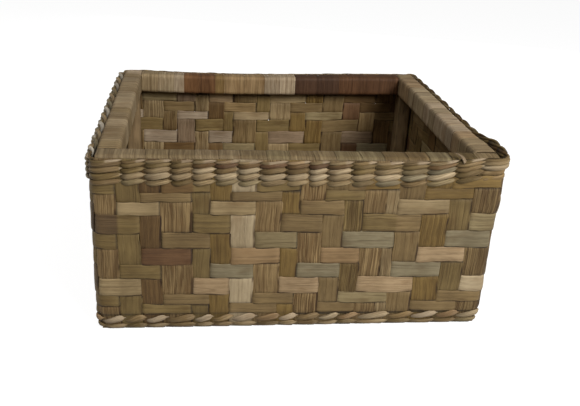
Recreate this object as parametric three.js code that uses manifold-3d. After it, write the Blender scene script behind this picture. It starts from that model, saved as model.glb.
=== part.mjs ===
// Open storage box, twill-woven from flattened leaf strips round a frame of wooden battens.
// The battens are nailed and dowelled. One leaf strip is wound round each top rail, the woven walls stand
// outside the frame on a twined foot border, and five twined rows hold the walls' upper edge.
// Millimetres, +Z up. The front faces -Y and the origin is on the floor under the middle of the base.

import * as THREE from "three";
import { mergeVertices } from "three/addons/utils/BufferGeometryUtils.js";
import Module from "manifold-3d";

const wasm = await Module();
wasm.setup();

// Clearance between pieces that touch on the bench.
const FIT = 0.3;

// Woven walls and base.
const WALL_WIDTH = 346; // outside, left to right
const WALL_DEPTH = 299; // outside, front to back
const HEIGHT = 162; // floor to the top of the wound rails
const WALL_THICKNESS = 3; // two crossing strips
const BASE_THICKNESS = 3;
const CORNER_RADIUS = 3.5; // outside bend of the weave at the upright corners
const RIM_DROP = 0.4; // from the rails' top down to the walls' upper edge

// Twined rows round the rim and the foot.
const RIM_ROWS = 5;
const RIM_ROW_HEIGHT = 4;
const RIM_ROW_THICKNESS = 3.2;
const FOOT_ROWS = 2;
const FOOT_ROW_HEIGHT = 7.6;
const FOOT_ROW_THICKNESS = 3.2;
const FOOT_ROW_SETBACK = 2.5; // lowest foot row inside the walls' outside
const FOOT_ROW_STEP = 2; // each row above stands this much further out
const FOOT_CLEARANCE = 0.4; // lowest foot row above the floor
const TWINE_EASE = 1.1; // eased edge of a twined row

// Wooden frame.
const RAIL_WIDTH = 16.4;
const RAIL_HEIGHT = 19;
const POST_SIDE = 15.5;
const POST_SETBACK = 1.7; // posts' outer faces behind the rails' outer faces
const FOOT_RAIL_WIDTH = 12;
const FOOT_RAIL_HEIGHT = 14;
const BATTEN_EASE = 1; // eased long edges of every batten

// Leaf strip wound round the top rails.
const LEAF_THICKNESS = 0.9;
const LEAF_WIDTH = 19; // nominal: each rail takes a whole number of turns
const LEAF_GAP = 0.8; // between one turn and the next, along the rail

// Nails and dowels.
const NAIL_LENGTH = 40;
const NAIL_RADIUS = 1;
const NAIL_HEAD_RADIUS = 2.2;
const NAIL_HEAD_THICKNESS = 0.8;
const NAIL_POINT = 2.5; // length of the point
const NAIL_SIDES = 8;
const RAIL_NAIL_EDGE = 4.2; // rail nails from the rails' outer faces
const FOOT_NAIL_STEP = 3; // foot nails above and below the foot rails' middle height
const DOWEL_RADIUS = 3;
const DOWEL_LENGTH = 22; // half in the rail, half in the post
const DOWEL_SIDES = 12;

// Places that follow from the sizes above.
const halfWidth = WALL_WIDTH / 2;
const halfDepth = WALL_DEPTH / 2;
const wrapDepth = LEAF_THICKNESS + FIT; // wound strip and its clearance, on each face of a rail
const frameSetback = WALL_THICKNESS + FIT + wrapDepth; // walls' outside to the rails' outer faces
const frameX = halfWidth - frameSetback;
const frameY = halfDepth - frameSetback;
const railTop = HEIGHT - wrapDepth;
const railBottom = railTop - RAIL_HEIGHT;
const railMiddle = (railTop + railBottom) / 2;
const postX = frameX - POST_SETBACK;
const postY = frameY - POST_SETBACK;
const postTop = railBottom - wrapDepth - FIT;
const postFoot = BASE_THICKNESS + FIT;
const footRailMiddle = postFoot + FOOT_RAIL_HEIGHT / 2;
const wallTop = HEIGHT - RIM_DROP;
const footTop = FOOT_CLEARANCE + FOOT_ROWS * (FOOT_ROW_HEIGHT + FIT) - FIT;
const wallFoot = footTop + FIT;

// Materials.
const finish = (color, roughness, metalness = 0) => new THREE.MeshStandardMaterial({ color, roughness, metalness });
const weaveFinish = finish(0x8f7a55, 0.75);
const twineFinish = finish(0xa08c66, 0.7);
const leafFinish = finish(0x94805a, 0.65);
const batten = finish(0x7a5a3a, 0.8);
const steel = finish(0x6f6a63, 0.45, 0.9);
const dowelWood = finish(0xb08c5c, 0.75);

const box = new THREE.Group();
box.name = "woven_box";

// Adds one named piece to the box.
function addPiece(name, geometry, material) {
  const mesh = new THREE.Mesh(geometry, material);
  mesh.name = name;
  box.add(mesh);
}

// A closed geometry as a solid that can be cut, and back again.
function toSolid(geometry) {
  const bare = geometry.clone();
  bare.deleteAttribute("normal");
  bare.deleteAttribute("uv");
  const merged = mergeVertices(bare, 1e-4);
  return new wasm.Manifold(
    new wasm.Mesh({
      numProp: 3,
      vertProperties: new Float32Array(merged.attributes.position.array),
      triVerts: new Uint32Array(merged.index.array),
    }),
  );
}

function toGeometry(solid) {
  const mesh = solid.getMesh();
  return new THREE.BufferGeometry()
    .setAttribute("position", new THREE.BufferAttribute(mesh.vertProperties, 3))
    .setIndex(new THREE.BufferAttribute(mesh.triVerts, 1));
}

// The geometry with each of the given solid geometries cut out of it.
function drilled(geometry, cutters) {
  let solid = toSolid(geometry);
  for (const cutter of cutters) solid = solid.subtract(toSolid(cutter));
  return toGeometry(solid);
}

// A box from its lowest to its highest corner.
function block(low, high) {
  const size = high.map((top, axis) => top - low[axis]);
  const middle = high.map((top, axis) => (top + low[axis]) / 2);
  return new THREE.BoxGeometry(...size).translate(...middle);
}

// A straight batten from corner to corner along one axis (0, 1 or 2), with its four long edges eased.
function easedBatten(low, high, along) {
  const [across, up] = [(along + 1) % 3, (along + 2) % 3];
  const halfAcross = (high[across] - low[across]) / 2;
  const halfUp = (high[up] - low[up]) / 2;
  const section = new THREE.Shape(easedOutline(halfAcross, halfUp, BATTEN_EASE).map((p) => new THREE.Vector2(...p)));
  const length = high[along] - low[along];
  const geometry = new THREE.ExtrudeGeometry(section, { depth: length, bevelEnabled: false, steps: 1 });
  const axes = [0, 1, 2].map((axis) => new THREE.Vector3().setComponent(axis, 1));
  const turn = new THREE.Matrix4().makeBasis(axes[across], axes[up], axes[along]);
  const start = high.map((top, axis) => (axis === along ? low[axis] : (top + low[axis]) / 2));
  return geometry.applyMatrix4(turn).translate(...start);
}

// Eight corner points of a rectangle with eased corners, anticlockwise from the lower left.
function easedOutline(halfAcross, halfUp, ease) {
  const [a, b] = [halfAcross, halfUp];
  return [
    [-a + ease, -b],
    [a - ease, -b],
    [a, -b + ease],
    [a, b - ease],
    [a - ease, b],
    [-a + ease, b],
    [-a, b - ease],
    [-a, -b + ease],
  ];
}

// A rectangle with round corners about the origin, as a shape or as a hole's path.
function roundRectangle(Kind, halfX, halfY, radius) {
  const outline = new Kind();
  outline.moveTo(halfX, -halfY + radius);
  outline.lineTo(halfX, halfY - radius);
  outline.absarc(halfX - radius, halfY - radius, radius, 0, Math.PI / 2);
  outline.lineTo(-halfX + radius, halfY);
  outline.absarc(-halfX + radius, halfY - radius, radius, Math.PI / 2, Math.PI);
  outline.lineTo(-halfX, -halfY + radius);
  outline.absarc(-halfX + radius, -halfY + radius, radius, Math.PI, 1.5 * Math.PI);
  outline.lineTo(halfX - radius, -halfY);
  outline.absarc(halfX - radius, -halfY + radius, radius, 1.5 * Math.PI, 2 * Math.PI);
  return outline;
}

const CORNER_SEGMENTS = 4;

// Woven walls: one tube in plan, parted at the corners into two long panels and two panels between them.
function addWalls() {
  const plan = roundRectangle(THREE.Shape, halfWidth, halfDepth, CORNER_RADIUS);
  const [innerX, innerY] = [halfWidth - WALL_THICKNESS, halfDepth - WALL_THICKNESS];
  const hole = new THREE.Path();
  hole.moveTo(-innerX, -innerY);
  hole.lineTo(innerX, -innerY);
  hole.lineTo(innerX, innerY);
  hole.lineTo(-innerX, innerY);
  hole.closePath();
  plan.holes.push(hole);
  const tube = new THREE.ExtrudeGeometry(plan, {
    depth: wallTop - wallFoot,
    bevelEnabled: false,
    curveSegments: CORNER_SEGMENTS,
  }).translate(0, 0, wallFoot);
  const tubeSolid = toSolid(tube);
  const part = (low, high) => toGeometry(tubeSolid.intersect(toSolid(block(low, high))));
  const sideY = innerY - FIT;
  addPiece("front_wall", part([-halfWidth, -halfDepth, 0], [halfWidth, -innerY, HEIGHT]), weaveFinish);
  addPiece("back_wall", part([-halfWidth, innerY, 0], [halfWidth, halfDepth, HEIGHT]), weaveFinish);
  addPiece("left_wall", part([-halfWidth, -sideY, 0], [-innerX + FIT, sideY, HEIGHT]), weaveFinish);
  addPiece("right_wall", part([innerX - FIT, -sideY, 0], [halfWidth, sideY, HEIGHT]), weaveFinish);
}

// One twined row: a ring with eased edges, its outside at the given half sizes.
function twinedRow(outerX, outerY, radius, thickness, height, foot) {
  const ring = roundRectangle(THREE.Shape, outerX, outerY, radius);
  const innerRadius = Math.max(radius - thickness, TWINE_EASE);
  ring.holes.push(roundRectangle(THREE.Path, outerX - thickness, outerY - thickness, innerRadius));
  return new THREE.ExtrudeGeometry(ring, {
    depth: height - 2 * TWINE_EASE,
    bevelThickness: TWINE_EASE,
    bevelSize: TWINE_EASE,
    bevelOffset: -TWINE_EASE,
    bevelSegments: 1,
    curveSegments: CORNER_SEGMENTS,
  }).translate(0, 0, foot + TWINE_EASE);
}

// Rim rows lie on the walls' outside, counted from the top down.
function addRimRows() {
  const reach = FIT + RIM_ROW_THICKNESS;
  for (let row = 1; row <= RIM_ROWS; row++) {
    const foot = wallTop - row * (RIM_ROW_HEIGHT + FIT) + FIT;
    const radius = CORNER_RADIUS + reach;
    const ring = twinedRow(halfWidth + reach, halfDepth + reach, radius, RIM_ROW_THICKNESS, RIM_ROW_HEIGHT, foot);
    addPiece(`rim_twine_row_${row}`, ring, twineFinish);
  }
}

// Foot rows go round the base under the walls' lower edge, counted from the floor up.
const footSetback = (row) => FOOT_ROW_SETBACK - FOOT_ROW_STEP * (row - 1);

function addFootRows() {
  for (let row = 1; row <= FOOT_ROWS; row++) {
    const foot = FOOT_CLEARANCE + (row - 1) * (FOOT_ROW_HEIGHT + FIT);
    const [x, y] = [halfWidth - footSetback(row), halfDepth - footSetback(row)];
    const ring = twinedRow(x, y, CORNER_RADIUS, FOOT_ROW_THICKNESS, FOOT_ROW_HEIGHT, foot);
    addPiece(`foot_twine_row_${row}`, ring, twineFinish);
  }
}

// Woven base inside the lowest foot row.
function addBase() {
  const inset = footSetback(1) + FOOT_ROW_THICKNESS + FIT;
  const radius = Math.max(CORNER_RADIUS - FOOT_ROW_THICKNESS, TWINE_EASE);
  const plan = roundRectangle(THREE.Shape, halfWidth - inset, halfDepth - inset, radius);
  const panel = new THREE.ExtrudeGeometry(plan, {
    depth: BASE_THICKNESS,
    bevelEnabled: false,
    curveSegments: CORNER_SEGMENTS,
  });
  addPiece("base", panel, weaveFinish);
}

// A nail along +Z with its head's face at the origin's height, grown all round by a clearance.
// A hole is open above the head, so that it runs out of the wood.
function nailForm(grow, open) {
  const tip = -NAIL_LENGTH - grow;
  const neck = -NAIL_HEAD_THICKNESS - grow;
  const profile = [
    [0, tip],
    [NAIL_RADIUS + grow, tip + NAIL_POINT],
    [NAIL_RADIUS + grow, neck],
    [NAIL_HEAD_RADIUS + grow, neck],
    [NAIL_HEAD_RADIUS + grow, open],
    [0, open],
  ];
  return new THREE.LatheGeometry(
    profile.map((p) => new THREE.Vector2(...p)),
    NAIL_SIDES,
  ).rotateX(Math.PI / 2);
}

// A dowel along Z about the origin, grown all round by a clearance.
const dowelForm = (grow) =>
  new THREE.CylinderGeometry(DOWEL_RADIUS + grow, DOWEL_RADIUS + grow, DOWEL_LENGTH + 2 * grow, DOWEL_SIDES).rotateX(
    Math.PI / 2,
  );

// Every nail and dowel: its name, its form, the hole it needs and where it goes.
const fasteners = [];

function placeNail(name, headAt, towards) {
  const turn = new THREE.Quaternion().setFromUnitVectors(new THREE.Vector3(0, 0, -1), towards);
  const matrix = new THREE.Matrix4().compose(headAt, turn, new THREE.Vector3(1, 1, 1));
  fasteners.push({
    name,
    material: steel,
    form: nailForm(0, 0).applyMatrix4(matrix),
    hole: nailForm(FIT, frameSetback).applyMatrix4(matrix),
  });
}

const CORNERS = [
  { name: "front_left", x: -1, y: -1 },
  { name: "front_right", x: 1, y: -1 },
  { name: "back_right", x: 1, y: 1 },
  { name: "back_left", x: -1, y: 1 },
];

// Rail nails go through the outer face of the rail that runs past the corner, into the end of the other rail.
// Foot nails go through each post into the ends of two foot rails. A dowel joins each post to the rail over it.
function placeFasteners() {
  const railNailX = frameX - RAIL_NAIL_EDGE;
  const railNailY = frameY - RAIL_NAIL_EDGE;
  const dowelX = (postX + frameX - RAIL_WIDTH) / 2;
  const dowelY = (postY + frameY - RAIL_WIDTH) / 2;
  for (const { name, x, y } of CORNERS) {
    const inX = new THREE.Vector3(-x, 0, 0);
    const inY = new THREE.Vector3(0, -y, 0);
    if (y < 0) placeNail(`rail_nail_${name}`, new THREE.Vector3(x * railNailX, y * frameY, railMiddle), inY);
    else placeNail(`rail_nail_${name}`, new THREE.Vector3(x * frameX, y * railNailY, railMiddle), inX);
    const footX = x * (postX - FOOT_RAIL_WIDTH / 2);
    const footY = y * (postY - FOOT_RAIL_WIDTH / 2);
    const [upper, lower] = [footRailMiddle + FOOT_NAIL_STEP, footRailMiddle - FOOT_NAIL_STEP];
    placeNail(`foot_nail_x_${name}`, new THREE.Vector3(x * postX, footY, upper), inX);
    placeNail(`foot_nail_y_${name}`, new THREE.Vector3(footX, y * postY, lower), inY);
    const seat = [x * dowelX, y * dowelY, (railBottom + postTop) / 2];
    fasteners.push({
      name: `post_dowel_${name}`,
      material: dowelWood,
      form: dowelForm(0).translate(...seat),
      hole: dowelForm(FIT).translate(...seat),
    });
  }
}

// The holes of the fasteners that reach into a geometry's box.
function holesIn(geometry) {
  geometry.computeBoundingBox();
  return fasteners
    .map((fastener) => fastener.hole)
    .filter((hole) => {
      hole.computeBoundingBox();
      return hole.boundingBox.intersectsBox(geometry.boundingBox);
    });
}

const addDrilled = (name, geometry, material) => addPiece(name, drilled(geometry, holesIn(geometry)), material);

// Upright posts under the corners of the rails, standing on the base.
function addPosts() {
  for (const { name, x, y } of CORNERS) {
    const [x0, x1] = [x * postX, x * (postX - POST_SIDE)].sort((a, b) => a - b);
    const [y0, y1] = [y * postY, y * (postY - POST_SIDE)].sort((a, b) => a - b);
    addDrilled(`corner_post_${name}`, easedBatten([x0, y0, postFoot], [x1, y1, postTop], 2), batten);
  }
}

// Foot rails lie on the base between the posts, flush with the posts' outer faces.
function addFootRails() {
  const endX = postX - POST_SIDE - FIT;
  const endY = postY - POST_SIDE - FIT;
  const top = postFoot + FOOT_RAIL_HEIGHT;
  for (const [name, y] of [["front", -1], ["back", 1]]) {
    const [y0, y1] = [y * postY, y * (postY - FOOT_RAIL_WIDTH)].sort((a, b) => a - b);
    addDrilled(`foot_rail_${name}`, easedBatten([-endX, y0, postFoot], [endX, y1, top], 0), batten);
  }
  for (const [name, x] of [["left", -1], ["right", 1]]) {
    const [x0, x1] = [x * postX, x * (postX - FOOT_RAIL_WIDTH)].sort((a, b) => a - b);
    addDrilled(`foot_rail_${name}`, easedBatten([x0, -endY, postFoot], [x1, endY, top], 1), batten);
  }
}

// A leaf strip wound round a rail along +X, its outer face towards -Y and the rail's middle at the origin.
// Each turn lies square across the bottom, inner and top faces, and steps along to the next on the outer face.
function windingGeometry(name, length) {
  const turns = Math.max(2, Math.round((length + LEAF_GAP) / (LEAF_WIDTH + LEAF_GAP)));
  const pitch = (length + LEAF_GAP) / turns;
  const halfStrip = (pitch - LEAF_GAP) / 2;
  const mitre = 2 - Math.SQRT2; // extra ease of the strip's outside over its inside, per thickness
  const [across, up] = [RAIL_WIDTH / 2 + FIT, RAIL_HEIGHT / 2 + FIT];
  const inside = easedOutline(across, up, BATTEN_EASE);
  const outside = easedOutline(across + LEAF_THICKNESS, up + LEAF_THICKNESS, BATTEN_EASE + mitre * LEAF_THICKNESS);
  const steppedPoint = inside.length - 1; // the only point of a turn past the step along the rail
  const stations = [];
  for (let turn = 0; turn < turns; turn++) {
    for (let point = 0; point < inside.length; point++) {
      if (turn === turns - 1 && point === steppedPoint) break;
      const along = -length / 2 + halfStrip + pitch * (turn + (point === steppedPoint ? 1 : 0));
      stations.push({ left: along - halfStrip, right: along + halfStrip, inner: inside[point], outer: outside[point] });
    }
  }
  console.log(`${name}: ${turns} turns, least gap ${leastGap(stations, inside.length).toFixed(2)} mm`);
  return stripGeometry(stations);
}

// The strip's surface: four points at each station, joined along the strip and closed at both ends.
function stripGeometry(stations) {
  const points = stations.flatMap(({ left, right, inner, outer }) => [
    [left, ...inner],
    [right, ...inner],
    [right, ...outer],
    [left, ...outer],
  ]);
  const faces = [];
  for (let station = 0; station + 1 < stations.length; station++) {
    for (let side = 0; side < 4; side++) {
      const [a, b] = [4 * station + side, 4 * station + ((side + 1) % 4)];
      faces.push(a, b, b + 4, a, b + 4, a + 4);
    }
  }
  const last = 4 * (stations.length - 1);
  faces.push(0, 3, 2, 0, 2, 1, last, last + 1, last + 2, last, last + 2, last + 3);
  return new THREE.BufferGeometry()
    .setAttribute("position", new THREE.Float32BufferAttribute(points.flat(), 3))
    .setIndex(faces);
}

// The least distance between one turn's right edge and the next turn's left edge, from points along the one to the
// straight runs of the other.
function leastGap(stations, perTurn) {
  const SAMPLES = 12;
  const corner = (side, station) => new THREE.Vector3(stations[station][side], ...stations[station].inner);
  const nearest = new THREE.Vector3();
  let least = Infinity;
  for (let from = 0; from + 1 < stations.length - perTurn; from++) {
    const rightEdge = new THREE.Line3(corner("right", from), corner("right", from + 1));
    for (let to = from + perTurn - 1; to <= from + perTurn + 1; to++) {
      if (to + 1 >= stations.length) break;
      const leftEdge = new THREE.Line3(corner("left", to), corner("left", to + 1));
      for (let sample = 0; sample <= SAMPLES; sample++) {
        const point = rightEdge.at(sample / SAMPLES, new THREE.Vector3());
        leftEdge.closestPointToPoint(point, true, nearest);
        least = Math.min(least, point.distanceTo(nearest));
      }
    }
  }
  return least;
}

// Top rails with their wound strips. The front rail runs from corner to corner, the side rails butt against it and
// run through to the back, and the back rail fits between them.
function addTopRails() {
  const woundWidth = RAIL_WIDTH + wrapDepth;
  const sideFront = -frameY + woundWidth + FIT;
  const backEnd = frameX - woundWidth - FIT;
  const rails = [
    { name: "front", from: [-frameX, -frameY], to: [frameX, -frameY + RAIL_WIDTH], along: 0, turn: 0 },
    { name: "right", from: [frameX - RAIL_WIDTH, sideFront], to: [frameX, frameY], along: 1, turn: Math.PI / 2 },
    { name: "back", from: [-backEnd, frameY - RAIL_WIDTH], to: [backEnd, frameY], along: 0, turn: Math.PI },
    { name: "left", from: [-frameX, sideFront], to: [-frameX + RAIL_WIDTH, frameY], along: 1, turn: -Math.PI / 2 },
  ];
  for (const { name, from, to, along, turn } of rails) {
    addDrilled(`top_rail_${name}`, easedBatten([...from, railBottom], [...to, railTop], along), batten);
    const middle = [(from[0] + to[0]) / 2, (from[1] + to[1]) / 2, railMiddle];
    const winding = windingGeometry(`rail_wrap_${name}`, to[along] - from[along]);
    addDrilled(`rail_wrap_${name}`, winding.rotateZ(turn).translate(...middle), leafFinish);
  }
}

function addFasteners() {
  for (const { name, form, material } of fasteners) addPiece(name, form, material);
}

placeFasteners();
addBase();
addFootRows();
addFootRails();
addPosts();
addTopRails();
addFasteners();
addWalls();
addRimRows();

export default box;
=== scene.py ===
import math

import bpy
import numpy as np
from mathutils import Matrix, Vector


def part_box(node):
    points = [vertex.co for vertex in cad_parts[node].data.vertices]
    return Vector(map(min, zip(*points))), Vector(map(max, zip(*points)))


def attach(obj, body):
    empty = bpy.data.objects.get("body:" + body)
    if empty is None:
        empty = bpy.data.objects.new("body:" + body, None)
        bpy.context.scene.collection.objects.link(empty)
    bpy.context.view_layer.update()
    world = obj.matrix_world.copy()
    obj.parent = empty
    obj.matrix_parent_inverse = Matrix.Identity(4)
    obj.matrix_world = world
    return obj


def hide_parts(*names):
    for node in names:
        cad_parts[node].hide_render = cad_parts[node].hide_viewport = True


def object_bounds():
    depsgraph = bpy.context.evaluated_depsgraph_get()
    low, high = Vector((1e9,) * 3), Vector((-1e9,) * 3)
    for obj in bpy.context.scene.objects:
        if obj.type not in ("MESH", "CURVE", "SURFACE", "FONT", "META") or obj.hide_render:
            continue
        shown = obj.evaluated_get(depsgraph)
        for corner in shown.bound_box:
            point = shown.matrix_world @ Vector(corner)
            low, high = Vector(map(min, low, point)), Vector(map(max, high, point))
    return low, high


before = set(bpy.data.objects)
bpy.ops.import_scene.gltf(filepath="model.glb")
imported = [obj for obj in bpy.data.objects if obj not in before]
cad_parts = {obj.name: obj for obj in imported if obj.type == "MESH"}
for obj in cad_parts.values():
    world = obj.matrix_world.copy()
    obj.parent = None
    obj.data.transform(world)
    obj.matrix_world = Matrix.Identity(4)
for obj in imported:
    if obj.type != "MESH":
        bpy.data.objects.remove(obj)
cad_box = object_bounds()

# Camera, light and floor.
# The box stands on a plain white floor, seen from above and left of its middle. The main light comes from
# the front right, so the right wall's inside lies in shade, and a weak one from high on the left. Two low
# strips of light, below the rim, reach only the outsides of the left and back walls.
camera = bpy.data.objects.new("camera", bpy.data.cameras.new("camera"))
camera.location = (-0.0879, -0.7070, 0.3674)
camera.rotation_euler = [math.radians(turn) for turn in (66.485, -3.043, -6.619)]
camera.data.sensor_width = 36
camera.data.lens = 45.413
bpy.context.scene.collection.objects.link(camera)
bpy.context.scene.camera = camera
bpy.context.scene.view_settings.view_transform = "Standard"


def soft_lamp(name, place, aim, wide, tall, watts):
    """Adds an oblong lamp at a place in metres, facing the aim and unseen itself."""
    lamp = bpy.data.objects.new(name, bpy.data.lights.new(name, "AREA"))
    lamp.data.shape = "RECTANGLE"
    lamp.data.size = wide
    lamp.data.size_y = tall
    lamp.data.energy = watts
    lamp.visible_camera = False
    toward = np.array(aim) - np.array(place)
    lamp.location = place
    flat = math.hypot(toward[0], toward[1])
    lamp.rotation_euler = (math.atan2(flat, -toward[2]), 0, math.atan2(-toward[0], toward[1]))
    bpy.context.scene.collection.objects.link(lamp)


soft_lamp("front_lamp", (0.75, -1.2, 0.95), (0, 0, 0.08), 0.6, 0.6, 27)
soft_lamp("high_lamp", (-0.7, -0.4, 1.6), (0, 0, 0.1), 1.2, 1.2, 8)
soft_lamp("low_left_lamp", (-1.3, 0.35, 0.08), (0, 0, 0.08), 0.9, 0.13, 5)
soft_lamp("low_back_lamp", (0.35, 1.3, 0.08), (0, 0, 0.08), 0.9, 0.13, 5)

world = bpy.data.worlds.new("studio")
world.use_nodes = True
sky = world.node_tree.nodes["Background"]
sky.inputs["Color"].default_value = (1, 1, 1, 1)
sky.inputs["Strength"].default_value = 0.22
bpy.context.scene.world = world


class Wire:
    """An output of a shader node. Arithmetic on it adds Math nodes to the same material."""

    def __init__(self, tree, owner=None, output=0):
        self.tree = tree
        self.owner = owner
        self.output = output

    def node(self, kind, settings, inputs, output=0):
        """Adds a node: its settings first, then a plain value or a wire for each of its inputs."""
        made = self.tree.nodes.new(kind)
        for name, value in settings.items():
            setattr(made, name, value)
        for name, value in inputs.items():
            if isinstance(value, Wire):
                self.tree.links.new(value.owner.outputs[value.output], made.inputs[name])
            else:
                made.inputs[name].default_value = value
        return Wire(self.tree, made, output)

    def math(self, operation, *values):
        """A Math node on plain values and wires."""
        return self.node("ShaderNodeMath", {"operation": operation}, dict(enumerate(values)))

    def __add__(self, other):
        return self.math("ADD", self, other)

    def __sub__(self, other):
        return self.math("SUBTRACT", self, other)

    def __rsub__(self, other):
        return self.math("SUBTRACT", other, self)

    def __mul__(self, other):
        return self.math("MULTIPLY", self, other)

    def __abs__(self):
        return self.math("ABSOLUTE", self)

    __radd__ = __add__
    __rmul__ = __mul__

    def between(self, low, high):
        """0 at low, 1 at high and a smooth rise between them."""
        limits = {"Value": self, "From Min": low, "From Max": high}
        return self.node("ShaderNodeMapRange", {"interpolation_type": "SMOOTHSTEP"}, limits)

    def blend(self, share, first, second, kind="MIX"):
        """One colour over another, by share."""
        settings = {"data_type": "RGBA", "blend_type": kind}
        return self.node("ShaderNodeMix", settings, {0: share, 6: first, 7: second}, 2)

    def grain(self, place, stretch, detail):
        """Noise from 0 to 1 on a place that is first stretched along its three axes."""
        laid = self.node("ShaderNodeVectorMath", {"operation": "MULTIPLY"}, {0: place, 1: stretch})
        return self.node("ShaderNodeTexNoise", {}, {"Vector": laid, "Scale": 1, "Detail": detail})

    def bump(self, height, depth, strength):
        """A surface normal from a height of 0 to 1 that stands for a depth in metres."""
        inputs = {"Height": height, "Distance": depth, "Strength": strength}
        return self.node("ShaderNodeBump", {}, inputs, "Normal")

    def finish(self, color, roughness, normal=None, **plain):
        """Ends the material in one surface shader; plain values go on its own sockets."""
        inputs = {"Base Color": color, "Roughness": roughness, **plain}
        if normal:
            inputs["Normal"] = normal
        surface = self.node("ShaderNodeBsdfPrincipled", {}, inputs)
        self.node("ShaderNodeOutputMaterial", {}, {"Surface": surface})


def new_material(name):
    """An empty material and a wire to start its nodes from."""
    material = bpy.data.materials.new(name)
    material.use_nodes = True
    material.node_tree.nodes.clear()
    return material, Wire(material.node_tree)


floor_half = 6.0
floor_grey = 0.3
floor_glow = 0.87
floor_mesh = bpy.data.meshes.new("floor")
floor_corners = [(-floor_half, -floor_half, 0), (floor_half, -floor_half, 0)]
floor_corners += [(floor_half, floor_half, 0), (-floor_half, floor_half, 0)]
floor_mesh.from_pydata(floor_corners, [], [(0, 1, 2, 3)])
floor = bpy.data.objects.new("floor", floor_mesh)
bpy.context.scene.collection.objects.link(floor)
floor_finish, make = new_material("white_floor")
camera_ray = make.node("ShaderNodeLightPath", {}, {}, "Is Camera Ray")
glossy_ray = Wire(make.tree, camera_ray.owner, "Is Glossy Ray")
matt = make.node("ShaderNodeBsdfDiffuse", {}, {"Color": (floor_grey, floor_grey, floor_grey, 1)})
glow_strength = (camera_ray + glossy_ray) * floor_glow
glow = make.node("ShaderNodeEmission", {}, {"Color": (1, 1, 1, 1), "Strength": glow_strength})
both = make.node("ShaderNodeAddShader", {}, {0: matt, 1: glow})
make.node("ShaderNodeOutputMaterial", {}, {"Surface": both})
floor_mesh.materials.append(floor_finish)

# Wooden frame.
# Square sawn battens of a brown softwood, stained: four corner posts, four foot rails and four top rails,
# nailed together. The grain runs along each batten, so each direction has its own finish.


def batten_finish(name, along):
    """Brown sawn wood: streaks drawn out along one axis, darker pores and a rough sawn surface."""
    material, make = new_material(name)
    place = make.node("ShaderNodeTexCoord", {}, {}, "Object")
    streak = make.grain(place, [14 if axis == along else 260 for axis in range(3)], 4)
    pores = make.grain(place, [60 if axis == along else 1500 for axis in range(3)], 2)
    cloud = make.grain(place, [22 if axis == along else 60 for axis in range(3)], 2)
    brown = make.blend(streak.between(0.3, 0.7), (0.12, 0.076, 0.028, 1), (0.235, 0.155, 0.072, 1))
    wear_and_shadow = make.blend(cloud.between(0.45, 0.7) * 0.7, brown, (0.33, 0.22, 0.11, 1))
    color = make.blend(pores.between(0.55, 0.72) * 0.6, wear_and_shadow, (0.07, 0.04, 0.02, 1))
    height = streak * 0.6 + pores * 0.4
    make.finish(color, 0.62 + 0.25 * pores, make.bump(height, 0.0006, 0.7))
    return material


random = np.random.default_rng(7)


def wander(distance, length, seed):
    """Slow smooth noise, -1 to 1: three sine waves out of step, each half as long and as high as the last.

    The length is the longest wave's, in the distance's unit, and the sum is divided by their heights.
    """
    phases = np.random.default_rng(seed).uniform(0, 2 * np.pi, 3)
    total = 0
    for step, phase in enumerate(phases):
        total = total + np.sin(2 * np.pi * distance * 2**step / length + phase) / 2**step
    return total / (1 + 1 / 2 + 1 / 4)


def rounded_outline(half_x, half_y, radius):
    """A rectangle with round corners, anticlockwise from the middle of its lower left corner.

    Gives its length and a function from distances along it to points and outward normals.
    """
    quarter = np.linspace(0, np.pi / 2, 9)
    eighth = np.linspace(0, np.pi / 4, 5)
    turns = [np.pi * 1.25 + eighth, np.pi * 1.5 + quarter, quarter, np.pi / 2 + quarter, np.pi + eighth]
    quadrants = [(-1, -1), (1, -1), (1, 1), (-1, 1), (-1, -1)]
    normals = np.concatenate([np.stack([np.cos(turn), np.sin(turn)], axis=-1) for turn in turns])
    signs = np.concatenate([np.tile(sign, (len(turn), 1)) for sign, turn in zip(quadrants, turns)])
    points = signs * (half_x - radius, half_y - radius) + radius * normals
    reached = np.concatenate([[0], np.cumsum(np.linalg.norm(np.diff(points, axis=0), axis=1))])

    def at(distance):
        """Points and outward normals at distances along the outline."""
        wrapped = np.mod(distance, reached[-1])
        place = np.stack([np.interp(wrapped, reached, points[:, axis]) for axis in range(2)], axis=-1)
        normal = np.stack([np.interp(wrapped, reached, normals[:, axis]) for axis in range(2)], axis=-1)
        return place, normal / np.linalg.norm(normal, axis=-1, keepdims=True)

    return reached[-1], at


def strip(points, along, across, half_width, color, fold=0.0, ridged=0.2, ring=False):
    """A strip's mesh values: points, places on the leaf, tints with the share across, folds and ridges.

    The points are in mm, stations along the strip by points round its section. The colour goes by station,
    or by station and point. A place is the distance along and across in mm, and the strip's own number.
    """
    shape = points.shape[:2]
    distance = np.broadcast_to(along[:, None], shape)
    offset = np.broadcast_to(across * np.reshape(half_width, (-1, 1)), shape)
    place = np.stack([distance, offset, np.full(shape, random.uniform(0, 90))], axis=-1)
    # The share across, 0 to 1, goes into the tint; the leaf finish paints a highlight near 0 and a shadow
    # line near 1.
    share = np.broadcast_to(across / 2 + 0.5, shape)[..., None]
    spread_color = np.broadcast_to(color if color.ndim == 3 else color[:, None], (*shape, 3))
    tint = np.concatenate([spread_color, share], axis=-1)
    folds, ridges = np.broadcast_to(fold, shape), np.full(shape, ridged)
    return {"points": points, "place": place, "tint": tint, "fold": folds, "ridged": ridges, "ring": ring}


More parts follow.
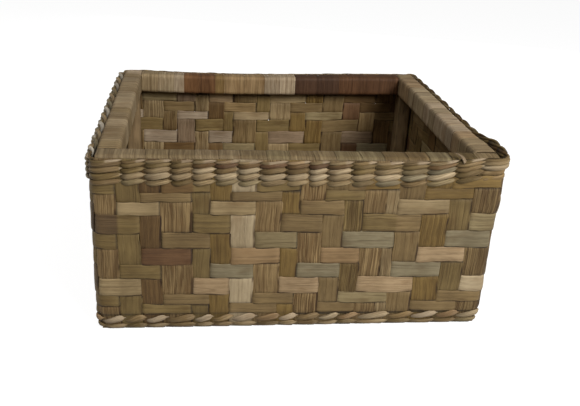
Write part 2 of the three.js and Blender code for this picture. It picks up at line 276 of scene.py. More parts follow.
def strip_quads(stations, points, ring):
    """Quads of a section carried along a strip, with a ladder of quads over each end unless it is a ring."""
    first = np.arange(stations if ring else stations - 1)[:, None] * points
    next_one = (first + points) % (stations * points)
    here = np.arange(points)
    beside = (here + 1) % points
    corners = [first + here, first + beside, next_one + beside, next_one + here]
    quads = np.stack(corners, axis=-1).reshape(-1, 4)
    if ring:
        return quads
    rung = np.arange(points // 2 - 1)
    start = np.stack([rung, points - 1 - rung, points - 2 - rung, rung + 1], axis=-1)
    return np.concatenate([quads, start, start[:, ::-1] + (stations - 1) * points])


def ramp(position, start, end):
    """0 before the start, 1 past the end and a straight rise between them."""
    return np.clip((position - start) / (end - start), 0, 1)


def smooth_step(position, start, end):
    """0 before the start, 1 past the end and a smooth rise s^2 (3 - 2 s) between them."""
    share = ramp(position, start, end)
    return share**2 * (3 - 2 * share)


def within(position, start, end, fade):
    """1 between a start and an end, with a smooth rise after the one and a smooth fall before the other."""
    return smooth_step(position, start, start + fade) * smooth_step(position, end, end - fade)


box_half_y, box_high = cad_box[1][1] * 1000, cad_box[1][2] * 1000
back_wave, wave_start, wave_length = 2.2, -175, 350
right_bow = 2.4
corner_pull, corner_reach, corner_x = 8, 40, -177
corner_push = 2.4
rim_bend = 3


def settled(points):
    """The points of a box a little out of true, in mm, all of it less towards the floor.

    Its back edge sags left of the middle and lifts at the right corner, by the wave times -sin(1.5 pi v),
    with v from 0 on the left to 1 on the right, and not at all on the front half. Its right side bows out
    by the bow times cos(pi w), with w from -0.5 at the front to 0.5 at the back. Its back left corner is
    drawn in by the pull times the square of a share that falls from 1 at the corner to 0 where the
    distances from both sides add up to the reach. Its front right corner is pushed to the right just below
    the rim, and the rim is bent out just behind that corner.
    """
    x, y, z = points.T
    up = ramp(z, 0, box_high)
    near_corner = 1 - ramp(x - corner_x + box_half_y - y, 0, corner_reach)
    drawn_in = corner_pull * near_corner**2 * up
    lift = -back_wave * np.sin(1.5 * np.pi * (x - wave_start) / wave_length) * ramp(y, 0, 150) * up
    bow = right_bow * np.cos(np.pi * np.clip(y / (2 * box_half_y), -0.5, 0.5)) * ramp(x, 100, 150) * up
    below_rim = corner_push * smooth_step(y, -100, -150) * within(z, 100, 158, 26) * ramp(x, 150, 172)
    behind = rim_bend * within(y, -156, -78, 26) * smooth_step(z, 138, 152) * ramp(x, 140, 168)
    return np.stack([x + bow + drawn_in + below_rim + behind, y - drawn_in, z + lift], axis=-1)


def strip_piece(name, strips, material, nodes):
    """Puts strips into one mesh, and hides the CAD nodes that the piece stands for.

    Faces point outwards: a strip whose quads enclose less than nothing has them turned round.
    """
    quads, count = [], 0
    for laid in strips:
        faces = strip_quads(*laid["points"].shape[:2], laid["ring"])
        corners = laid["points"].reshape(-1, 3)[faces]
        volume = np.einsum("ij,ij->", corners[:, 0], np.cross(corners[:, 1], corners[:, 2] + corners[:, 3]))
        quads.append((faces if volume > 0 else faces[:, ::-1]) + count)
        count += laid["points"].size // 3
    keys = ("points", "place", "tint", "fold", "ridged")
    joined = [np.concatenate([laid[key].ravel() for laid in strips]) for key in keys]
    points, place, tint, fold, ridged = joined
    quads = np.concatenate(quads)
    mesh = bpy.data.meshes.new(name)
    mesh.vertices.add(count)
    mesh.vertices.foreach_set("co", settled(points.reshape(-1, 3)).ravel() / 1000)
    mesh.loops.add(quads.size)
    mesh.loops.foreach_set("vertex_index", quads.ravel().astype(np.int32))
    mesh.polygons.add(len(quads))
    mesh.polygons.foreach_set("loop_start", np.arange(0, quads.size, 4, dtype=np.int32))
    mesh.update(calc_edges=True)
    mesh.attributes.new("place", "FLOAT_VECTOR", "POINT").data.foreach_set("vector", place)
    mesh.attributes.new("tint", "FLOAT_COLOR", "POINT").data.foreach_set("color", tint)
    mesh.attributes.new("fold", "FLOAT", "POINT").data.foreach_set("value", fold)
    mesh.attributes.new("ridged", "FLOAT", "POINT").data.foreach_set("value", ridged)
    mesh.shade_smooth()
    mesh.materials.append(material)
    piece = bpy.data.objects.new(name, mesh)
    bpy.context.scene.collection.objects.link(piece)
    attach(piece, "root")
    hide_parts(*nodes)


def batten(node, along, material, lean=(0, 0)):
    """A batten from its CAD box, with worn round edges and sides a little out of line.

    A post leans out against the walls, by the lean in mm from 30 mm above the floor up. Its lowest 16 mm
    stay where they are, between the foot rails.
    """
    edge_radius, stations, round_points = 1.4, 30, 32
    low, high = (np.array(corner) * 1000 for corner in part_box(node))
    first, second = [axis for axis in range(3) if axis != along]
    half, middle = (high - low) / 2, (high + low) / 2
    length, outline = rounded_outline(half[first], half[second], edge_radius)
    section, normal = outline(np.arange(round_points) * length / round_points)
    run = np.linspace(low[along], high[along], stations)
    seed = 3000 + sum(map(ord, node))
    bent = 0.25 * wander(run, 70, seed)[:, None]
    wear_and_shadow = 0.1 * wander(section[:, 0] + section[:, 1], 9, seed + 1)
    uneven = 0.2 - bent + wear_and_shadow
    points = np.zeros((stations, round_points, 3))
    points[..., along] = run[:, None]
    points[..., first] = middle[first] + section[:, 0] + normal[:, 0] * uneven
    points[..., second] = middle[second] + section[:, 1] + normal[:, 1] * uneven
    if along == 2:
        points[..., :2] += ramp(points[..., 2:], 16, 30) * lean
    laid = strip(points, run, np.zeros(round_points), half[first], np.ones((stations, 3)))
    strip_piece(f"{node}_wood", [laid], material, [node])


post_lean = 3
post_wood = batten_finish("post_wood", 2)
corner_signs = {"front_left": (-1, -1), "front_right": (1, -1), "back_right": (1, 1), "back_left": (-1, 1)}
for corner, signs in corner_signs.items():
    batten(f"corner_post_{corner}", 2, post_wood, np.array(signs) * post_lean)
for along, sides in enumerate([("front", "back"), ("left", "right")]):
    rail_wood = batten_finish(f"rail_wood_{'xy'[along]}", along)
    for side in sides:
        batten(f"top_rail_{side}", along, rail_wood)
        batten(f"foot_rail_{side}", along, rail_wood)

# Nails and dowels.
# Drawn wire nails with flat heads, dulled by handling, hold the rails' butt joints and the foot rails.
# Turned dowels of a paler wood join the posts to the top rails.


def dress(nodes, material):
    """Puts a material on CAD pieces that stay as they are."""
    for node in nodes:
        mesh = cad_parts[node].data
        mesh.materials.clear()
        mesh.materials.append(material)


nail_finish, make = new_material("nail_steel")
place = make.node("ShaderNodeTexCoord", {}, {}, "Object")
scuff = make.grain(place, (900, 900, 900), 3)
rust = make.grain(place, (240, 240, 240), 2).between(0.52, 0.7)
steel = make.blend(scuff, (0.28, 0.27, 0.26, 1), (0.5, 0.49, 0.47, 1))
make.finish(make.blend(rust * 0.6, steel, (0.12, 0.06, 0.03, 1)), 0.35 + 0.3 * scuff, Metallic=0.9)
dress([f"rail_nail_{corner}" for corner in corner_signs], nail_finish)
dress([f"foot_nail_{way}_{corner}" for way in "xy" for corner in corner_signs], nail_finish)

dowel_finish, make = new_material("dowel_wood")
place = make.node("ShaderNodeTexCoord", {}, {}, "Object")
streak = make.grain(place, (500, 500, 30), 3)
ring = make.grain(place, (120, 120, 10), 2)
pale = make.blend(streak.between(0.3, 0.7), (0.36, 0.22, 0.1, 1), (0.5, 0.33, 0.17, 1))
turned = make.blend(ring * 0.4, pale, (0.3, 0.17, 0.07, 1))
make.finish(turned, 0.6 + 0.2 * streak, make.bump(streak, 0.0003, 0.6))
dress([f"post_dowel_{corner}" for corner in corner_signs], dowel_finish)

# Wound leaf strips on the top rails.
# One flattened leaf strip about 20 mm wide is wound round each batten, square across its top and inner
# faces, and each turn's edge lies over the one before. Strips of other tones are let in as one runs out.
# Each tone is linear red, green and blue, and is named for how the leaf looks.
tones = {
    "bone": (0.315, 0.243, 0.146),
    "straw": (0.222, 0.16, 0.08),
    "pink": (0.282, 0.196, 0.107),
    "mauve": (0.245, 0.188, 0.128),
    "dove": (0.19, 0.132, 0.08),
    "rose": (0.214, 0.136, 0.064),
    "sand": (0.205, 0.137, 0.06),
    "ash": (0.18, 0.147, 0.086),
    "grey": (0.193, 0.147, 0.073),
    "tan": (0.153, 0.102, 0.043),
    "golden": (0.148, 0.093, 0.028),
    "olive": (0.136, 0.092, 0.034),
    "brown": (0.106, 0.061, 0.022),
    "russet": (0.096, 0.049, 0.021),
    "bark": (0.079, 0.048, 0.021),
    "fawn": (0.232, 0.17, 0.092),
    "cream": (0.34, 0.262, 0.172),
    "amber": (0.262, 0.174, 0.083),
    "honey": (0.225, 0.14, 0.05),
    "rust": (0.125, 0.058, 0.021),
    "umber": (0.084, 0.037, 0.014),
    "sepia": (0.06, 0.028, 0.013),
    "silver": (0.36, 0.32, 0.255),
}


def leaf_finish(name, fibre_pitch):
    """Dry leaf, tinted by strip: streaks, fibres and creases along it, a mottle, blotches and a low sheen.

    The fibres are as fine as the pitch, in mm across the strip. One edge has a painted shadow line in
    places, the other a painted highlight.
    A ridged leaf has stronger streaks, dark pleats about 2 mm apart and dark wavy lines. The folds of a
    crinkled leaf are in its mesh, and their height, -1 to 1, also sets painted shade in the grooves and a
    painted highlight on the crests.
    """
    material, make = new_material(name)
    place = make.node("ShaderNodeAttribute", {"attribute_name": "place"}, {}, "Vector")
    tint = make.node("ShaderNodeAttribute", {"attribute_name": "tint"}, {}, "Color")
    edge = Wire(make.tree, tint.owner, "Alpha")
    fold = make.node("ShaderNodeAttribute", {"attribute_name": "fold"}, {}, "Fac")
    ridged = make.node("ShaderNodeAttribute", {"attribute_name": "ridged"}, {}, "Fac")

    def tinted(red, green, blue):
        """The strip's tint times a colour."""
        return make.blend(1, tint, (red, green, blue, 1), "MULTIPLY")

    fibre = make.grain(place, (0.02, 1 / fibre_pitch, 3.1), 3)
    streak = make.grain(place, (0.009, 0.32, 4.7), 2)
    mottle = make.grain(place, (0.13, 0.4, 8.3), 3)
    line = abs(make.grain(place, (0.016, 0.62, 5.3), 2) - 0.5).between(0.055, 0.012)
    pleat = abs(make.grain(place, (0.012, 0.5, 6.1), 1) - 0.5).between(0.09, 0.015)
    crease = abs(make.grain(place, (0.004, 0.16, 7.7), 1) - 0.5).between(0.022, 0.003)
    blotch = make.grain(place, (0.035, 0.09, 1.7), 3).between(0.54, 0.76)
    cloud = make.grain(place, (0.011, 0.05, 2.3), 2).between(0.5, 0.78)
    # Patches along the strip where the painted shadow line of one edge shows.
    wear_and_shadow = make.grain(place, (0.06, 0.001, 9.1), 1).between(0.38, 0.6)
    color = make.blend(streak.between(0.32, 0.68), tinted(0.86, 0.84, 0.8), tinted(1.14, 1.14, 1.13))
    color = make.blend(streak.between(0.5, 0.3) * ridged * 0.7, color, tinted(0.5, 0.45, 0.37))
    color = make.blend(streak.between(0.5, 0.7) * ridged * 0.7, color, tinted(1.55, 1.56, 1.56))
    color = make.blend(mottle.between(0.5, 0.3) * 0.3, color, tinted(0.55, 0.5, 0.45))
    color = make.blend(mottle.between(0.5, 0.7) * 0.3, color, tinted(1.45, 1.46, 1.48))
    color = make.blend(fibre.between(0.35, 0.7) * 0.45, color, tinted(1.25, 1.24, 1.2))
    # Painted shade in the grooves of the folds and a painted highlight on their crests.
    color = make.blend(fold.between(0, -0.7) * 0.28, color, tinted(0.42, 0.34, 0.26))
    color = make.blend(fold.between(0.2, 0.9) * 0.25, color, tinted(1.65, 1.62, 1.58))
    color = make.blend(pleat * ridged * 0.7, color, tinted(0.46, 0.36, 0.27))
    color = make.blend(line * (0.05 + 0.7 * ridged), color, tinted(0.3, 0.21, 0.13))
    color = make.blend(crease * 0.4, color, tinted(0.5, 0.42, 0.34))
    color = make.blend(blotch * 0.6, color, tinted(0.64, 0.53, 0.42))
    color = make.blend(cloud * 0.55, color, tinted(1.32, 1.33, 1.36))
    # A painted shadow line along one edge, in patches, and a painted highlight along the other.
    color = make.blend(edge.between(0.9, 0.955) * wear_and_shadow * 0.9, color, tinted(0.16, 0.11, 0.07))
    color = make.blend(edge.between(0.08, 0.02) * 0.35, color, tinted(1.45, 1.42, 1.4))
    height = fibre * 0.3 + streak * 0.3 - line * ridged * 0.6 - crease * 0.3
    make.finish(color, 0.55 + 0.2 * fibre, make.bump(height, 0.0007, 0.8), **{"Specular IOR Level": 0.25})
    return material


def leaf_section(thickness, crown, points):
    """Closed section of a flat strip, upper side then lower: shares of its half width and heights in mm.

    The height is crown * (1 - x^2), plus or minus half the thickness, which thins to a third at both edges.
    """
    x = np.concatenate([[-1], np.linspace(-0.965, 0.965, points - 2), [1]])
    bow = crown * (1 - x**2)
    body = thickness / 2 * (1 - 0.65 * np.abs(x) ** 12)
    return np.concatenate([x, x[::-1]]), np.concatenate([bow + body, (bow - body)[::-1]])


def crinkle(along, across, length, seed):
    """Folds along a dried leaf, about -1 to 1: waves 6.5, 3.9 and 2.6 mm wide that drift slowly along it."""
    total = 0
    for number, (pitch, share) in enumerate([(6.5, 0.35), (3.9, 0.4), (2.6, 0.4)]):
        drift = 1.6 * wander(along, length, seed + number)[:, None] + 5 * np.sin(seed + number)
        total = total + share * np.sin(2 * np.pi * across / pitch + drift)
    return total


def share_out(widths, length):
    """Strip widths made to fill a length, as the distances of their edges."""
    return np.concatenate([[0], np.cumsum(widths)]) * length / np.sum(widths)


wound_leaf = leaf_finish("wound_leaf", 0.9)


def wound_strip(length, half_across, half_up, stand_off, turn_widths, turn_tints, seed):
    """A strip wound round a rail along +X with the rail's outer face towards -Y, its middle at the origin.

    Each turn runs once round the rail's outline at one place along it, and steps on to the next place, as a
    smooth S, where it crosses the outer face. A turn's left edge lifts over the right edge of the turn
    before, and carries the leaf's painted shadow line, narrower than on the walls. The strip's middle stands
    off the rail.
    """
    thickness, lift, overlap, stations, edge_share = 0.7, 0.2, 1.2, 44, 0.88
    turns = len(turn_tints)
    edges = share_out(turn_widths, length) - length / 2
    middles, widths = (edges[1:] + edges[:-1]) / 2, np.diff(edges)
    round_length, outline = rounded_outline(half_across + stand_off, half_up + stand_off, 2.8)
    step_from = (4 * half_across + 2 * half_up) / (4 * half_across + 4 * half_up)
    turned = np.linspace(0, turns - 1 + step_from, int((turns - 1 + step_from) * stations))
    share = np.mod(turned, 1)
    stepped = np.floor(turned) + smooth_step(share, step_from, 1)
    turn_width = np.interp(stepped, np.arange(turns), widths) + overlap
    half_width = turn_width / 2 + 0.25 * wander(turned, 1.7, seed)
    middle = np.interp(stepped, np.arange(turns), middles) + 0.35 * wander(turned, 2.3, seed + 1)
    across, height = leaf_section(thickness, 0.1, 14)
    folds = 0.45 * crinkle(turned * round_length, across * half_width[:, None], 190, seed + 3)
    section, normal = outline(share * round_length)
    raised = height - lift * across + 0.12 * folds
    x = np.clip(middle[:, None] + across * half_width[:, None], -length / 2, length / 2)
    yz = section[:, None] + normal[:, None] * raised[..., None]
    points = np.concatenate([x[..., None], yz], axis=-1)
    tint = turn_tints[np.minimum(np.floor(turned + 0.2), turns - 1).astype(int)]
    tint = tint * (1 + 0.13 * wander(turned, 3.1, seed + 2))[:, None]
    return strip(points, turned * round_length, -edge_share * across, half_width, tint, folds, 0.45)


# For each rail: its turn from the front one in degrees, its shade, and each winding's tone and width in mm.
front_turns = "fawn 20 fawn 21 straw 19 straw 22 fawn 20 fawn 18 straw 22 grey 20 straw 21 straw 19"
front_turns += " grey 22 grey 20 tan 21 tan 19 grey 20 olive 22 straw 20"
right_turns = "fawn 21 fawn 22 pink 19 cream 21 cream 20 cream 22 bone 20 cream 21 bone 22 bone 20"
right_turns += " bone 21 pink 20 pink 22 fawn 19"
back_turns = "umber 24.2 umber 24.2 umber 24.2 sepia 26 sepia 26 cream 17.7 cream 17.7 amber 23.6"
back_turns += " amber 23.6 honey 10.6 rust 17.7 rust 17.7 cream 11 bone 18.4 fawn 18.2"
left_turns = "cream 21 fawn 20 bone 22 fawn 19 fawn 21 bone 20 bone 23 bone 20 straw 19 fawn 22"
left_turns += " bone 21 fawn 20 fawn 22 straw 20"
rail_turns = {
    "front": (0, 0.84, front_turns),
    "right": (90, 1.06, right_turns),
    "back": (180, 1.04, back_turns),
    "left": (-90, 1.05, left_turns),
}
for seed, (side, (turn, shade, turns)) in enumerate(rail_turns.items()):
    turn_tones, turn_widths = turns.split()[::2], [float(width) for width in turns.split()[1::2]]
    low, high = (np.array(corner) * 1000 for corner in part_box(f"top_rail_{side}"))
    size = high - low
    long, wide = max(size[:2]), min(size[:2])
    stand_off = 0.6 if side == "back" else 1.2
    turn_tints = np.array([tones[tone] for tone in turn_tones]) * shade
    wound = wound_strip(long, wide / 2, size[2] / 2, stand_off, turn_widths, turn_tints, 10 * seed + 40)
    cosine, sine = math.cos(math.radians(turn)), math.sin(math.radians(turn))
    turning = np.array([[cosine, sine, 0], [-sine, cosine, 0], [0, 0, 1]])
    wound["points"] = wound["points"] @ turning + (low + high) / 2
    strip_piece(f"rail_winding_{side}", [wound], wound_leaf, [f"rail_wrap_{side}"])

# Upright strips of the walls.
# Flattened leaf strips about 20 mm wide stand side by side all round the box, bent in under the foot. Going
# up, each passes over two level strips and under two, one step on from its neighbour, which makes the
# twill's diagonals.
layer_depth = 0.2
wall_half_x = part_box("right_wall")[1][0] * 1000 - layer_depth
wall_half_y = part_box("back_wall")[1][1] * 1000 - layer_depth
wall_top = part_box("front_wall")[1][2] * 1000
hoop_length, hoop = rounded_outline(wall_half_x, wall_half_y, 7)
side_length = hoop_length / 2 * wall_half_y / (wall_half_x + wall_half_y)
front_length = hoop_length / 2 - side_length
# In mm: how far a strip swings out and in, its thickness and crown, its overlap and its lapping edge's rise.
swing = 1.0
strip_thickness, strip_crown = 0.9, 0.25
strip_overlap = {"front": 0.4, "right": 1.3, "back": 0.4, "left": 1.3}
shingle = 0.36
foot_draw, foot_height = 3, 20


def on_wall(plan, normal, height, out):
    """Points at a height and a distance outwards from a line in plan, which is drawn in near the floor.

    Over the foot's height the line draws in as a parabola, by the foot's draw on every side at the floor.
    """
    bend = foot_draw * np.clip(1 - height / foot_height, 0, None) ** 2
    drawn_in = plan * (1 - bend[..., None] / (wall_half_x, wall_half_y))
    return np.concatenate([drawn_in + normal * out[..., None], height[..., None]], axis=-1)


def over_under(position, edges, levels, reach):
    """Where a strip runs, 1 outside to -1 inside: a level for each stretch and smooth steps at the edges."""
    return levels[0] + smooth_step(position[:, None], edges - reach, edges + reach) @ np.diff(levels)


# Each upright strip's tone and width in mm, from left to right seen from outside.
front_stakes = "sand 18.4 olive 18.9 brown 17.2 sand 26.2 olive 15.2 golden 17.4 bone 20.7 sand 22.3"
front_stakes += " golden 15.2 sand 21 tan 18.1 olive 16.5 sand 29.7 tan 22.7 golden 23.8 olive 20.3 tan 22.4"
right_stakes = "tan 23 olive 21 brown 24 tan 22 golden 25 tan 21 olive 23 tan 24 brown 22 tan 23"
right_stakes += " olive 21 tan 24 tan 22"
back_stakes = "brown 20 brown 20 sand 19 russet 20 tan 25 golden 20.4 golden 18.7 straw 25 olive 15"
back_stakes += " tan 27.5 olive 11 brown 18 straw 15.6 dove 21 tan 15.6 straw 23.5 tan 19"
left_stakes = "tan 23 olive 22 tan 21 golden 24 straw 22 tan 23 brown 22 tan 24 golden 21 tan 23"
left_stakes += " olive 22 straw 23 tan 22"
column_edges, column_tones, wall_columns = [0.0], [], {}
wall_stakes = {"front": front_stakes, "right": right_stakes, "back": back_stakes, "left": left_stakes}
for side, stakes in wall_stakes.items():
    length = front_length if side in ("front", "back") else side_length
    first_column = len(column_tones)
    column_tones += stakes.split()[::2]
    widths = [float(width) for width in stakes.split()[1::2]]
    column_edges += list(column_edges[-1] + share_out(widths, length)[1:])
    wall_columns[side] = range(first_column, len(column_tones))
column_edges = np.array(column_edges)
column_count = len(column_tones)
ridged_front = [0.8, 0.15, 0.4, 0.9, 0.15, 0.25, 0.05, 0.6, 0.15, 1, 0.1, 0.9, 0.6, 0.2, 0.4, 0.3, 0.9]
column_ridged = ridged_front + list(random.uniform(0.1, 1, column_count - len(ridged_front)))
left_edges = np.array([140, 130.5, 123, 112, 95, 81, 65.3, 52.3, 36, 26, 17.5])
right_edges = np.array([148.5, 138, 127.5, 113.3, 96.8, 81, 66.4, 51.5, 36.3, 25.7, 16])
back_edges = np.array([148.5, 136, 125.5, 113.5, 103.8, 88.7, 73.4, 58.5, 43, 29.5, 17])
row_count = len(left_edges) - 1
corner_places = [0, front_length, front_length + side_length, hoop_length - side_length, hoop_length]


def row_edge(edge, along):
    """Height of the edge between two level strips, from its heights at the corners and on the back."""
    ends = [left_edges[edge], right_edges[edge], back_edges[edge], back_edges[edge], left_edges[edge]]
    return np.interp(along, corner_places, ends)


def stake_level(row, column):
    """1 where the upright strip is outside the level one, else -1."""
    return 1 if (row + column) % 4 in (1, 2) else -1


def under_shade(level, way):
    """Shade near the crossings, 1 where a strip lies on top.

    Where it dives under, the shade falls to 0.15 at the ends on its right or its foot, and to 0.8 at the
    others. The way is 1 where the strip runs towards the dark ends, else -1.
    """
    deep = np.where(np.gradient(level) * way * np.sign(level) < 0, 0.85, 0.2)
    return 1 - deep * (1 - smooth_step(np.abs(level), 0, 0.5))


def painted_face_shading(color, level, points):
    """The colour for the points round a strip's section, outer face first.

    The inner face, on the inside of the box, is painted 1.28 times lighter as painted light, and each face
    gets painted shade, down to 0.35 of its colour, where it is pressed against another strip.
    """
    outer = np.arange(2 * points) < points
    pressed = np.where(outer, -level[:, None], level[:, None])
    # Painted light: 1.28 on the inner face. Painted shade: down to 0.35 where a face lies pressed under
    # another strip.
    shade = np.where(outer, 1, 1.28) * (1 - 0.65 * np.clip(pressed, 0, 1))
    return color[:, None] * shade[..., None]


woven_leaf = leaf_finish("woven_leaf", 0.9)
stake_points = 22


def stake(side, column, low, high, color, ridged):
    """One upright strip between two distances along the hoop, from the floor to the rim.

    It swings out and in by its level, leans one edge over its neighbour, sways and varies in width by slow
    noise, and its folds stand out by 0.2 mm times their height.
    """
    middle = (low + high) / 2
    edges = np.array([row_edge(edge, middle) for edge in range(row_count, -1, -1)])
    levels = [0, *[stake_level(row, column) for row in range(row_count - 1, -1, -1)], 0]
    height = np.linspace(0.9, wall_top - 0.4, 84)
    seed = 100 + int(middle * 7)
    half_width = (high - low + strip_overlap[side]) / 2
    half_width = half_width + 0.4 * wander(height, 90, seed) + 0.25 * wander(height, 21, seed + 9)
    across, thick = leaf_section(strip_thickness, strip_crown, stake_points)
    folds = ridged * crinkle(height, across * half_width[:, None], 260, seed + 4)
    level = over_under(height, edges, levels, 2.3)
    tilt = shingle * (1 + wander(height, 50, seed + 7))[:, None]
    out = swing * level[:, None] + thick + tilt * across + 0.2 * folds
    along = middle + 0.7 * wander(height, 90, seed + 2)[:, None] + across * half_width[:, None]
    points = on_wall(*hoop(along), np.broadcast_to(height[:, None], along.shape), out)
    aged = 1 + 0.14 * wander(height, 75, seed + 3)[:, None] * (1, 1.1, 1.25)
    tint = np.array(color) * under_shade(level, -1)[:, None] * aged
    return strip(points, height, across, half_width, painted_face_shading(tint, level, stake_points), folds, ridged)


split_column, split_width = 12, 19.5
for side, numbers in wall_columns.items():
    stakes = []
    for column in numbers:
        low, high = column_edges[column], column_edges[column + 1]
        color = np.array(tones[column_tones[column]]) * random.uniform(0.93, 1.07)
        if column == split_column:
            stakes.append(stake(side, column, low, low + split_width, color, 0.7))
            stakes.append(stake(side, column, low + split_width, high, tones["straw"], 0.5))
        else:
            stakes.append(stake(side, column, low, high, color, column_ridged[column]))
    strip_piece(f"upright_strips_{side}", stakes, woven_leaf, [f"{side}_wall"])

# Level strips of the walls.
# Ten leaf strips go round the box, woven over and under the upright ones. Each is pieced together from
# leaves of several tones, whose ends are hidden where they pass behind. For each strip, from the top: the
# number of the upright strip where each leaf begins, and the leaf's tone.
row_tones = """
0 olive 2 brown 4 olive 9 tan 12 golden 17 olive 23 tan 31 brown 39 olive 47 tan 56 olive
0 olive 2 tan 6 tan 10 olive 13 golden 17 tan 24 olive 31 brown 35 straw 39 pink 43 grey 47 tan 55 olive
0 straw 5 straw 8 tan 13 straw 18 tan 26 straw 30 brown 34 tan 38 sand 42 tan 47 straw 54 tan
0 bark 1 olive 7 tan 10 olive 13 tan 15 grey 19 olive 27 tan 33 grey 37 fawn 41 mauve 48 grey 57 olive
0 olive 2 tan 6 grey 10 ash 14 ash 20 grey 28 olive 32 tan 36 olive 40 olive 44 olive 49 ash 58 olive
0 olive 2 russet 5 rose 9 rose 13 pink 21 tan 29 russet 31 dove 35 dove 39 mauve 43 mauve 50 russet 59 tan
0 olive 4 ash 8 ash 12 ash 22 tan 30 ash 34 olive 38 grey 42 brown 51 olive 56 grey
0 straw 1 straw 4 pink 7 pink 11 pink 15 bone 23 straw 31 pink 39 tan 52 pink 57 straw
0 olive 2 tan 6 tan 10 grey 14 tan 24 olive 32 tan 40 grey 53 olive 58 tan
0 olive 5 tan 9 tan 13 tan 25 brown 33 olive 41 tan 54 tan 59 olive
""".strip().splitlines()
weaver_points = 12


def weaver(row):
    """One level strip round the whole hoop, between the heights of two row edges.

    It swings out and in by its level, which is opposite to that of the upright strip at each crossing, and
    sways and varies in width by slow noise.
    """
    along = np.linspace(0, hoop_length, 640, endpoint=False)
    upper, lower = row_edge(row, along), row_edge(row + 1, along)
    levels = np.array([-stake_level(row, column) for column in range(column_count)])
    levels = np.concatenate([levels[-1:], levels, levels[:1]])
    seed = 900 + 20 * row
    overlap = np.repeat(list(strip_overlap.values()), np.diff(np.searchsorted(along, corner_places)))
    half_width = (upper - lower + overlap) / 2 + 0.4 * wander(along, hoop_length / 14, seed)
    half_width = half_width + 0.25 * wander(along, hoop_length / 60, seed + 9)
    across, thick = leaf_section(strip_thickness, strip_crown, weaver_points)
    folds = 0.15 * crinkle(along, across * half_width[:, None], hoop_length / 5, seed + 4)
    level = over_under(along, column_edges, levels, 2.4)
    tilt = shingle * (1 + wander(along, hoop_length / 24, seed + 7))[:, None]
    out = swing * level[:, None] + thick + tilt * across + 0.1 * folds
    middle = (upper + lower) / 2 + 0.6 * wander(along, hoop_length / 16, seed + 2)
    height = middle[:, None] - across * half_width[:, None]
    points = on_wall(*hoop(np.broadcast_to(along[:, None], height.shape)), height, out)
    leaves = row_tones[row].split()
    starts, names = [int(start) for start in leaves[::2]], leaves[1::2]
    leaf = np.searchsorted(column_edges[starts], along + 0.01) - 1
    tint = np.array([tones[name] for name in names]) * random.uniform(0.93, 1.07, (len(names), 1))
    aged = 1 + 0.15 * wander(along, hoop_length / 20, seed + 3)[:, None] * (1, 1.1, 1.25)
    tint = painted_face_shading(tint[leaf] * under_shade(level, 1)[:, None] * aged, level, weaver_points)
    return strip(points, along, across, half_width, tint, folds, 0.15, ring=True)


wall_nodes = ["front_wall", "right_wall", "back_wall", "left_wall"]
for row in range(row_count):
    strip_piece(f"level_strip_{row + 1}", [weaver(row)], woven_leaf, wall_nodes)

# Base.
# The upright strips carry on across the floor of the box, those of the front and back over and under those
# of the sides in the same twill, so the base is two layers of strips with the frame standing on it.
turned_under = 2.6
base_thickness, base_crown, base_swing = 0.8, 0.15, 0.55
base_reach_x, base_reach_y, base_high = np.array(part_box("base")[1]) * 1000 + (turned_under, turned_under, 0)
base_middle = base_high / 2


def base_strips(along_y):
    """The strips that run front to back (along_y) or left to right.

    Each keeps the place and tone of its wall strip, and rises and falls by the base's swing as it goes over
    and under those of the other set.
    """
    front_columns, side_columns = wall_columns["front"], wall_columns["right"]
    front_edges = column_edges[: front_columns.stop + 1] - front_length / 2
    side_edges = column_edges[side_columns.start : side_columns.stop + 1] - front_length - side_length / 2
    edges, crossed = (front_edges, side_edges) if along_y else (side_edges, front_edges)
    reach, limit = (base_reach_y, base_reach_x) if along_y else (base_reach_x, base_reach_y)
    first_column = 0 if along_y else side_columns.start
    made = []
    for number in range(len(edges) - 1):
        low, high = np.clip(edges[number : number + 2], -limit, limit)
        run = np.linspace(-reach, reach, 64)
        others = range(len(crossed) - 1)
        level = [stake_level(other, number) if along_y else -stake_level(number, other) for other in others]
        across, thick = leaf_section(base_thickness, base_crown, 8)
        seed = 2000 + 50 * along_y + number
        rise = base_middle + base_swing * over_under(run, crossed[1:-1], level, 3.4)[:, None] + thick
        half_width = (high - low + 0.2) / 2 * (1 + 0.02 * wander(run, 90, seed))
        side = (low + high) / 2 + 0.3 * wander(run, 110, seed + 1)[:, None] + across * half_width[:, None]
        length = np.broadcast_to(run[:, None], side.shape)
        points = np.stack([side, length, rise] if along_y else [length, side, rise], axis=-1)
        aged = 1 + 0.08 * wander(run, 80, seed + 2)
        tint = np.array(tones[column_tones[first_column + number]]) * aged[:, None]
        made.append(strip(points, run, across, half_width, tint))
    return made


strip_piece("base_strips_long", base_strips(False), woven_leaf, ["base"])
strip_piece("base_strips_short", base_strips(True), woven_leaf, ["base"])

# Twined rows round the rim.
# Each row is two soft strands of twisted leaf, which take turns in front of the upright strips and cross
# between them. Every stitch swells to a spindle, its blunt right end lies over the next one, and the
# stitches stand in columns.
twined_leaf = leaf_finish("twined_leaf", 0.5)
stitch_steps = 14
section_points = 12
neck_tall, neck_thick = 1.4, 1.2
strand_edge_share = 0.95
twine_length, twine_path = rounded_outline(wall_half_x, wall_half_y, 6)
# The front's first stitch begins 7 mm before its left corner, and its last ends 6 mm past its right corner.
front_stitches = [20.5, 18.4, 21.3, 17.5, 18.4, 18.5, 17.9, 22.1, 19.4]
front_stitches += [15.4, 20.1, 19.4, 23, 22.4, 25.2, 21.9, 23]
other_edges = column_edges[len(front_stitches) + 1 :]
rim_edges = np.concatenate([share_out(front_stitches, front_length), other_edges])
rim_edges[[0, -1]] -= 7
rim_edges[len(front_stitches)] += 6


